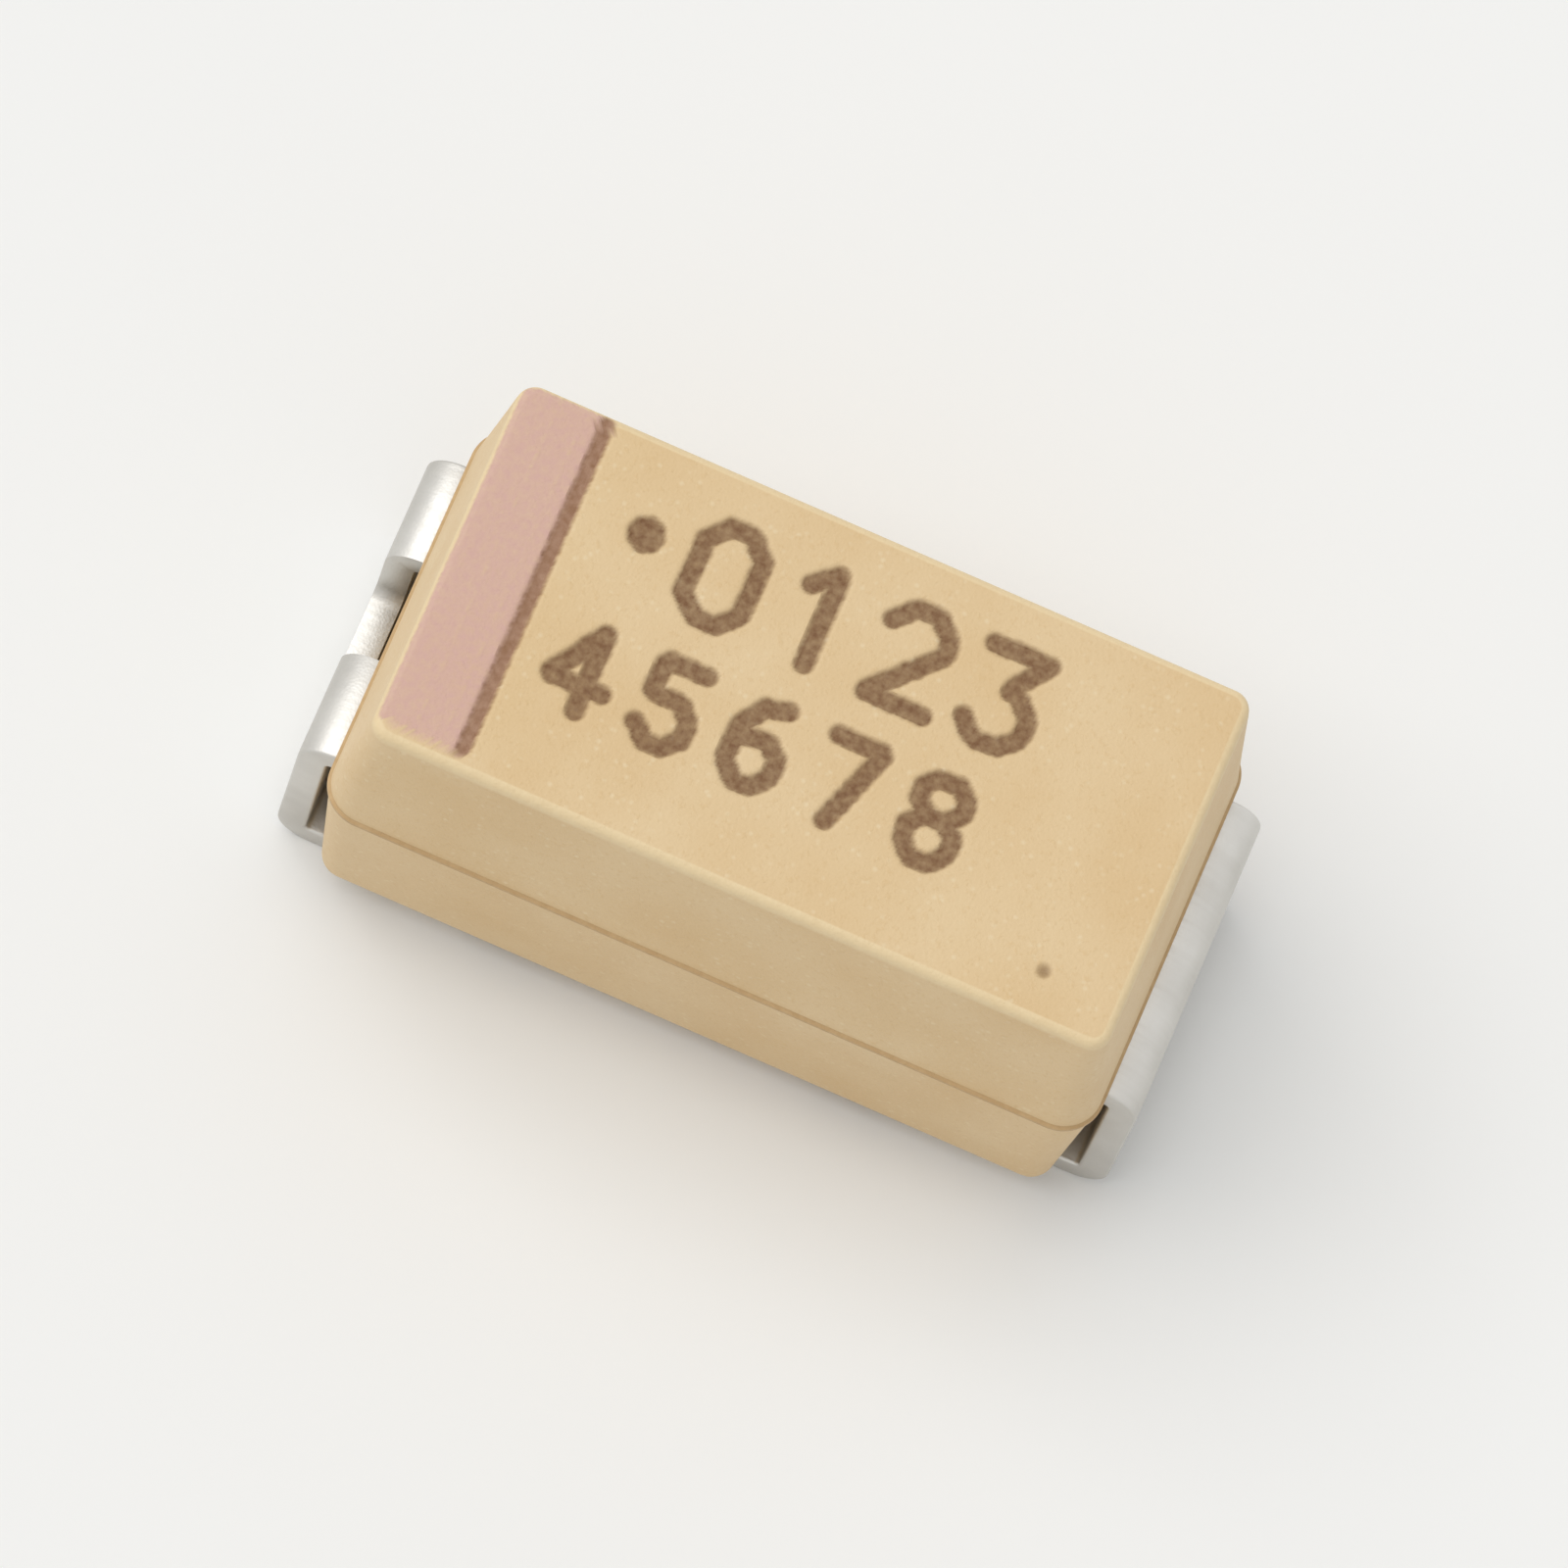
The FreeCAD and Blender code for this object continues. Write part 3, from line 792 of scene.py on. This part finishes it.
@dataclass
class MouldedCase:
    """The epoxy body: two drafted halves, a parting line, rounded edges and a glue pad.

    Every ring of the body is one core rectangle grown by a distance, which is also the ring's
    corner radius, so a ring is a growth and a height. `half` and `pad_half` are half the length
    and width of the body at its parting line and of its pad. Sizes are in millimetres and degrees.
    """

    half: Plan = (CASE_END, 0.8)
    top: float = 1.6
    underside: float = 0.14
    pad_face: float = 0.09
    pad_half: Plan = (0.55, 0.65)
    pad_radius: float = 0.06
    pad_edge: float = 0.01
    pad_knee: float = 0.3
    parting_growth: float = 0.156
    upper_draft: float = 7.0
    lower_draft: float = 5.0
    edge_radius: float = 0.035
    seam_proud: float = 0.009
    seam_half: float = 0.014
    support: float = 0.02
    arc_steps: int = 8
    mesh_step: float = 0.01
    pit: Pit = field(default_factory=Pit)

    @property
    def core(self) -> Plan:
        """Gives half the length and width of the body's core rectangle."""
        return self.half[0] - self.parting_growth, self.half[1] - self.parting_growth

    @property
    def pad_core(self) -> Plan:
        """Gives half the length and width of the pad's core rectangle."""
        return self.pad_half[0] - self.pad_radius, self.pad_half[1] - self.pad_radius

    def wall(self, height: float) -> float:
        """Gives a drafted wall's growth at a height."""
        draft = self.upper_draft if height > PARTING else self.lower_draft
        return self.parting_growth - abs(height - PARTING) * math.tan(math.radians(draft))

    def rounding(self, face: float, inward: int, draft: float) -> list[Plan]:
        """Gives the rings of the rounded edge between a level face and a drafted wall.

        Args:
            face: the level face's height.
            inward: one where the solid lies above the face, minus one where it lies below.
            draft: the wall's draft.

        Returns:
            Growth and height of each ring, from the face to the wall.
        """
        lean = math.radians(draft)
        radius = self.edge_radius
        middle = face + inward * radius
        centre = self.wall(middle) - radius / math.cos(lean)
        rings = []
        for step in range(self.arc_steps + 1):
            turn = math.pi / 2 + (lean - math.pi / 2) * step / self.arc_steps
            rings.append((centre + radius * math.cos(turn), middle - inward * radius * math.sin(turn)))
        return rings

    def ring(self, core: Plan, growth: float, height: float, cells: tuple[int, int]) -> list[Vector]:
        """Places one ring's points.

        Args:
            core: half the core rectangle's length and width.
            growth: how far the ring lies outside it.
            height: the ring's height.
            cells: how many steps the ring has along X and along Y.

        Returns:
            The points, anticlockwise from the front-left corner.
        """
        points = []
        for side in range(4):
            long, wide = core if side % 2 == 0 else core[::-1]
            turn = Matrix.Rotation(side * math.pi / 2, 3, "Z")
            for step in range(cells[side % 2]):
                share = 2 * step / cells[side % 2] - 1
                run = abs(share) * (long + math.pi / 4 * growth)
                angle = max(run - long, 0.0) / growth if growth else 0.0
                across = min(run, long) + growth * math.sin(angle)
                away = wide + growth * math.cos(angle)
                points.append(turn @ Vector((math.copysign(across, share), -away, height)))
        return points

    def seam(self) -> list[tuple[float, float, Mark | None]]:
        """Gives the rings of the flash that stands proud at the parting line, from above.

        Returns:
            Growth, height and mark of each ring.
        """
        half, rings = self.seam_half, []
        for away in (self.support, half, half / 2, -half / 2, -half, -self.support):
            height = PARTING + away
            drawn_in = self.wall(height) - self.seam_proud
            growth = self.parting_growth if abs(away) < half else drawn_in
            # the ridge's rings get the darker paint: flash and the seam's painted shadow
            rings.append((growth, height, Mark.SEAM if abs(away) <= half else None))
        return rings

    def levels(self) -> list[tuple[Plan, float, float, Mark | None]]:
        """Lists every ring from the top's border down and round to the glue pad.

        Returns:
            The core, growth, height and mark of each ring.
        """
        upper = self.rounding(self.top, -1, self.upper_draft)
        lower = self.rounding(self.underside, 1, self.lower_draft)
        high, low = upper[-1][1] - self.support, lower[-1][1] + self.support
        edge, knee = self.pad_edge, self.pad_edge * self.pad_knee
        pad = [
            (self.pad_radius + edge, self.underside),
            (self.pad_radius, self.underside - edge),
            (self.pad_radius, self.pad_face + edge),
            (self.pad_radius - knee, self.pad_face + knee),
            (self.pad_radius - edge, self.pad_face),
            (self.pad_radius - edge * 2, self.pad_face),
        ]
        return [
            (self.core, *upper[0], None),
            # the upper rounding's rings get the lighter paint: resin-rich edge and painted highlight
            *((self.core, *ring, Mark.ROUNDED) for ring in upper[1:]),
            (self.core, self.wall(high), high, None),
            *((self.core, *ring) for ring in self.seam()),
            (self.core, self.wall(low), low, None),
            *((self.core, *ring, None) for ring in reversed(lower)),
            *((self.pad_core, *ring, None) for ring in pad),
        ]

    def mesh(self) -> Mesh:
        """Builds the unmarked body: a fine grid for the top, and rings down from its border.

        Returns:
            A closed mesh in millimetres, with the attributes of its edges, its seam and the painted shade
            in its pit.
        """
        across, deep = cells = tuple(round(2 * half / self.mesh_step) for half in self.core)
        width = across + 1
        columns = [self.core[0] * (2 * column / across - 1) for column in range(width)]
        rows = [self.core[1] * (2 * row / deep - 1) for row in range(deep + 1)]
        points = [Vector((x, y, self.top)) for y in rows for x in columns]
        pitted = [self.pit.share(point) for point in points]
        points = [point - Vector((0, 0, self.pit.depth * share)) for point, share in zip(points, pitted)]
        starts = [row * width + column for row in range(deep) for column in range(across)]
        faces = [(k, k + 1, k + width + 1, k + width) for k in starts]
        marks = [None] * len(points)
        rim = list(range(across))
        rim += [across + k * width for k in range(deep)]
        rim += [deep * width + across - k for k in range(across)]
        rim += [(deep - k) * width for k in range(deep)]
        for core, growth, height, mark in self.levels():
            ring = self.ring(core, growth, height, cells)
            loop = list(range(len(points), len(points) + len(ring)))
            points += ring
            marks += [mark] * len(ring)
            faces += zip(rim, loop, loop[1:] + loop[:1], rim[1:] + rim[:1])
            rim = loop
        faces.append(tuple(reversed(rim)))
        mesh = plain_mesh("gold_epoxy_case", points, faces)
        # the pit's share also paints shade in it; the marked rings get the edge highlight and seam shadow
        shares = {Mark.PIT: pitted + [0.0] * (len(points) - len(pitted))}
        for kind in (Mark.ROUNDED, Mark.SEAM):
            shares[kind] = [float(mark is kind) for mark in marks]
        for kind, values in shares.items():
            mesh.attributes.new(kind.value, "FLOAT", "POINT").data.foreach_set("value", values)
        return mesh

    def build(self, finish: bpy.types.Material) -> None:
        """Moulds the case, marks it with the laser and hands it over.

        Args:
            finish: the moulded resin, which reads the marks.
        """
        scans, border, text = PolarityBand().scans(), PolarityBand().border(), Lettering().strokes()
        mesh = self.mesh()
        for laser in (
            LaserPass(Mark.BAND, scans, pitch=0.02, spot=0.024, depth=0.007, wander=0.002, seed=3),
            LaserPass(Mark.BORDER, border, pitch=0.024, spot=0.034, depth=0.012, wander=0.003, seed=5),
            LaserPass(Mark.STROKES, text, pitch=0.026, spot=0.045, depth=0.014, wander=0.003, seed=7),
        ):
            mesh = laser.burn(mesh, self.top, finish)
        finish_piece("gold_epoxy_case", mesh, "moulded_case")


@dataclass
class FoldedTerminal:
    """A terminal punched and folded from one strip: inner end, leg and foot.

    Its path is the strip's middle line, as distance from the chip's middle and height. Sizes are
    in millimetres and degrees.
    """

    end: End
    width: float = 1.2
    inner_width: float = 0.9
    shoulder: float = 1.37
    bend_radius: float = 0.02
    bend_steps: int = 10
    burr: float = 0.012
    burr_steps: int = 3
    cut_edge: float = 0.002
    cut_segments: int = 2
    cut_turn: float = 50.0
    punch_low: float = 0.2
    punch_high: float = 1.0

    def inner(self) -> list[Plan]:
        """Lists the path's corners inside the case, from its inner tip."""
        raise NotImplementedError

    def outer(self) -> list[Plan]:
        """Lists the path's corners at the exit, at the foot of the leg and at the foot's tip."""
        middle = STRIP / 2
        return [(CHIP_END - middle, PARTING - middle), (CHIP_END - middle, middle), (FOOT_TIP, middle)]

    def tree(self, inputs: Inputs) -> Nodes:
        """Builds the tree that folds a strip along a path and punches it.

        Args:
            inputs: its named inputs.

        Returns:
            The tree.
        """
        tree, given = geometry_tree("folded_strip", inputs)
        path = add_node(tree, "GeometryNodeMeshToCurve", None, {0: given["Geometry"]})
        links = {0: given["Strip Thickness"], 1: 0.5, 2: given["Bend Radius"]}
        radius = add_node(tree, MATH, TIMES_PLUS, links)
        poly = {"mode": "POLY"}
        links = {"Curve": path, "Count": given["Bend Steps"], "Radius": radius}
        folded = add_node(tree, "GeometryNodeFilletCurve", poly, links)
        links = {"Width": given["Strip Width"], "Height": given["Strip Thickness"]}
        blank = add_node(tree, "GeometryNodeCurvePrimitiveQuadrilateral", None, links)
        links = {"Curve": blank, "Count": given["Burr Steps"], "Radius": given["Burr Radius"]}
        section = add_node(tree, "GeometryNodeFilletCurve", poly, links)
        links = {"Curve": folded, "Profile Curve": section, "Fill Caps": True}
        strip = add_node(tree, "GeometryNodeCurveToMesh", None, links)
        tool = add_node(tree, "GeometryNodeObjectInfo", None, {"Object": given["Punch"]}, "Geometry")
        cut = {"operation": "DIFFERENCE", "solver": "EXACT"}
        punched = add_node(tree, "GeometryNodeMeshBoolean", cut, {"Mesh 1": strip, "Mesh 2": tool})
        close_tree(tree, punched, given["Finish"])
        return tree

    def prism(self, outline: list[Plan], near: float, far: float) -> Solid:
        """Stretches an outline in the YZ plane between two distances from the chip's middle.

        Args:
            outline: its corners, anticlockwise seen from outside the cathode's end.
            near: the nearer distance.
            far: the farther distance.

        Returns:
            The prism's points and faces.
        """
        count, sign = len(outline), self.end.value
        points = [Vector((sign * x, y, z)) for x in (near, far) for y, z in outline]
        walls = [(k, (k + 1) % count, (k + 1) % count + count, k + count) for k in range(count)]
        faces = [*walls, tuple(range(count))[::-1], tuple(range(count, 2 * count))]
        return points, faces if sign > 0 else [face[::-1] for face in faces]

    def tools(self) -> list[Solid]:
        """Gives the punches at each side, which narrow the strip inside the case.

        Returns:
            The points and faces of each punch.
        """
        near, far, low, high = self.inner_width / 2, self.width, self.punch_low, self.punch_high
        right = [(near, low), (far, low), (far, high), (near, high)]
        left = [(-far, low), (-near, low), (-near, high), (-far, high)]
        return [self.prism(outline, 0.0, self.shoulder) for outline in (right, left)]

    def punch(self) -> Item:
        """Joins the punches into one object.

        Returns:
            The object that the strip's tree cuts with.
        """
        points, faces = [], []
        for tool_points, tool_faces in self.tools():
            faces += [tuple(k + len(points) for k in face) for face in tool_faces]
            points += tool_points
        return new_object("punch", plain_mesh("punch", points, faces))

    def build(self, finish: bpy.types.Material) -> None:
        """Folds and punches the strip, breaks its cut edges and hands it over.

        Args:
            finish: the plating.
        """
        name = self.end.name.lower()
        path = bpy.data.meshes.new(f"{name}_strip")
        corners = [(self.end.value * x, 0.0, z) for x, z in (*self.inner(), *self.outer())]
        path.from_pydata(corners, [(k, k + 1) for k in range(len(corners) - 1)], [])
        blank, punch = new_object("unfolded", path), self.punch()
        inputs = {
            "Strip Width": ("Float", self.width),
            "Strip Thickness": ("Float", STRIP),
            "Bend Radius": ("Float", self.bend_radius),
            "Bend Steps": ("Int", self.bend_steps),
            "Burr Radius": ("Float", self.burr),
            "Burr Steps": ("Int", self.burr_steps),
            "Punch": ("Object", punch),
            "Finish": ("Material", finish),
        }
        run_tree(blank, self.tree(inputs), inputs)
        edges = blank.modifiers.new("cut edges", "BEVEL")
        edges.width, edges.segments = self.cut_edge, self.cut_segments
        edges.angle_limit = math.radians(self.cut_turn)
        edges.use_clamp_overlap = False
        mesh = settle(blank, [punch])
        face_outwards(mesh)
        finish_piece(f"{name}_strip", mesh, f"{name}_terminal")


@dataclass
class AnodeTerminal(FoldedTerminal):
    """The anode's terminal, with a solder window in its leg and a tongue that seats the wire."""

    end: End = End.ANODE
    tongue_tip: float = 1.07
    window_width: float = 0.4
    window_foot: float = 0.48
    window_radius: float = 0.06
    window_reach: float = 1.7
    corner_steps: int = 6
    wire_height: float = 0.96
    wire_radius: float = 0.09
    wire_tip: float = 1.43
    wire_steps: int = 32
    seat_start: float = 1.0

    def inner(self) -> list[Plan]:
        """Lists the tip of the tongue, the path's only corner inside the case."""
        return [(self.tongue_tip, PARTING - STRIP / 2)]

    def window(self) -> list[Plan]:
        """Outlines the solder window, with its lower corners round.

        Returns:
            Its corners across the strip and in height, anticlockwise.
        """
        radius, low = self.window_radius, self.window_foot + self.window_radius
        reach = self.window_width / 2 - radius
        outline = [(reach + radius, self.punch_high), (-reach - radius, self.punch_high)]
        for middle, first in ((-reach, math.pi), (reach, 1.5 * math.pi)):
            for step in range(self.corner_steps + 1):
                turn = first + math.pi / 2 * step / self.corner_steps
                outline.append((middle + radius * math.cos(turn), low + radius * math.sin(turn)))
        return outline

    def seat(self) -> list[Plan]:
        """Outlines the wire where it is welded down into the tongue.

        Returns:
            The points of its circle across the strip and in height, anticlockwise.
        """
        radius, middle = self.wire_radius, self.wire_height
        turns = [math.tau * step / self.wire_steps for step in range(self.wire_steps)]
        return [(radius * math.cos(turn), middle + radius * math.sin(turn)) for turn in turns]

    def tools(self) -> list[Solid]:
        """Gives the side punches, the window's punch and the wire's seat."""
        window = self.prism(self.window(), CASE_END, self.window_reach)
        return [*super().tools(), window, self.prism(self.seat(), self.seat_start, self.wire_tip)]


@dataclass
class CathodeTerminal(FoldedTerminal):
    """The cathode's terminal, which steps down in the case to a paddle under the element."""

    end: End = End.CATHODE
    paddle_tip: float = 0.09
    paddle_top: float = 0.44
    step_face: float = 1.2

    def inner(self) -> list[Plan]:
        """Lists the corners of the paddle and of the step.

        Returns:
            The paddle's tip, and the foot and the head of the step.
        """
        middle = STRIP / 2
        step, paddle = self.step_face - middle, self.paddle_top - middle
        return [(self.paddle_tip, paddle), (step, paddle), (step, PARTING - middle)]


@dataclass
class CapacitorElement:
    """The element inside the case: its pieces keep their construction shapes and get finishes."""

    finishes: dict[str, Finish]

    def dress(self) -> None:
        """Gives each inner node its material."""
        for node, finish in self.finishes.items():
            material = finish.material()
            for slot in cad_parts[node].material_slots:
                slot.material = material
            LOG.info("%s: %s", node, finish.name)


# Surroundings


@dataclass
class Studio:
    """A pale board, soft light from the upper left and the camera.

    Sizes are in metres, angles in degrees, the lens in millimetres and the lamp's power in watts.
    """

    board_half: float = 0.6
    ambient: float = 0.6
    key_power: float = 1.88
    key_size: float = 0.55
    key_place: Triple = (-0.26, 0.02, 0.5)
    azimuth: float = 0.5
    elevation: float = 69.4
    roll: float = 23.1
    distance: float = 0.06
    lens: float = 393.0
    nearest: float = 0.003
    farthest: float = 5.0
    aim: Triple = (0.0, 0.0, 0.00085)

    def floor(self) -> None:
        """Lays the board under the part."""
        half = self.board_half
        corners = [(-half, -half, 0), (half, -half, 0), (half, half, 0), (-half, half, 0)]
        mesh = bpy.data.meshes.new("pale_board")
        mesh.from_pydata(corners, [], [(0, 1, 2, 3)])
        mesh.materials.append(PaleBoard().material())
        new_object("pale_board", mesh)

    def light(self) -> None:
        """Hangs the soft box and lights the room evenly.

        The camera, metal and clear surfaces see a white room at a strength of one, and the rest
        is lit by the ambient level.
        """
        world = bpy.data.worlds.new("white_room")
        bpy.context.scene.world = world
        world.use_nodes = True
        tree = world.node_tree
        path = add_node(tree, "ShaderNodeLightPath").node.outputs
        seen = add_node(tree, MATH, MOST, {0: path["Is Camera Ray"], 1: path["Is Glossy Ray"]})
        seen = add_node(tree, MATH, MOST, {0: seen, 1: path["Is Transmission Ray"]})
        links = {0: seen, 1: 0.0, 2: 1.0, 3: self.ambient, 4: 1.0}
        level = add_node(tree, "ShaderNodeMapRange", None, links)
        room = tree.nodes["Background"]
        room.inputs["Color"].default_value = linear("#FFFFFF")
        tree.links.new(level, room.inputs["Strength"])
        lamp = bpy.data.lights.new("soft_box", "AREA")
        lamp.size, lamp.energy = self.key_size, self.key_power
        item = new_object("soft_box", lamp)
        item.location = self.key_place
        item.rotation_euler = Vector(self.key_place).to_track_quat("Z", "Y").to_euler()

    def camera(self) -> None:
        """Sets the camera at the photograph's angle, with its roll and no shift."""
        around, above = math.radians(self.azimuth), math.radians(self.elevation)
        level = Vector((math.sin(around), -math.cos(around), 0.0)) * math.cos(above)
        back = level + Vector((0.0, 0.0, math.sin(above)))
        lens = bpy.data.cameras.new("camera")
        lens.lens = self.lens
        lens.clip_start, lens.clip_end = self.nearest, self.farthest
        item = new_object("camera", lens)
        item.rotation_mode = "QUATERNION"
        roll = Matrix.Rotation(math.radians(self.roll), 3, "Z").to_quaternion()
        item.rotation_quaternion = (-back).to_track_quat("-Z", "Y") @ roll
        item.location = Vector(self.aim) + back * self.distance
        bpy.context.scene.camera = item

    def build(self) -> None:
        """Sets up floor, light, camera and the plain view transform."""
        self.floor()
        self.light()
        self.camera()
        bpy.context.scene.view_settings.view_transform = "Standard"


def inner_finishes() -> dict[str, Finish]:
    """Lists the finishes of the element's pieces, from the pellet outwards.

    Returns:
        A finish for each inner node.
    """
    return {
        "tantalum_pellet": PackedGrains(
            name="sintered tantalum powder", base="#6A6B70", shade="#3E3F43", grain=0.014,
            roughness=0.6, metallic=1.0,
        ),
        "riser_wire": LinedSurface(
            name="drawn tantalum wire", base="#8D9096", shade="#6C6F76", line=0.006,
            stretch=(0.04, 1.0, 1.0), roughness=0.26, metallic=1.0, relief=0.0008,
        ),
        "wire_washer": LinedSurface(
            name="skived fluoropolymer sheet", base="#EFEEEA", shade="#DEDDD7", line=0.02,
            stretch=(1.0, 1.0, 0.1), roughness=0.38, ior=1.36, relief=0.0015,
        ),
        "manganese_dioxide_layer": PackedGrains(
            name="fired manganese dioxide", base="#2A2826", shade="#171615", grain=0.018,
            roughness=0.78,
        ),
        "graphite_layer": PackedGrains(
            name="dipped graphite", base="#3A3B3E", shade="#28292B", grain=0.01,
            roughness=0.48, relief=0.0015,
        ),
        "silver_layer": PackedGrains(
            name="dipped silver paint", base="#C9C6BF", shade="#B0ADA5", grain=0.012,
            roughness=0.42, metallic=1.0, relief=0.0015,
        ),
        "silver_adhesive": PackedGrains(
            name="cured silver adhesive", base="#ABA8A1", shade="#827F78", grain=0.02,
            roughness=0.46, metallic=1.0, relief=0.004,
        ),
    }


def main() -> None:
    """Builds and dresses the capacitor in order, then its surroundings."""
    logging.basicConfig(level=logging.INFO, format="%(message)s", stream=sys.stdout)
    tin = MatteTin().material()
    MouldedCase().build(MouldedEpoxy().material())
    for terminal in (AnodeTerminal(), CathodeTerminal()):
        terminal.build(tin)
    CapacitorElement(inner_finishes()).dress()
    Studio().build()


if __name__ == "__main__":
    main()
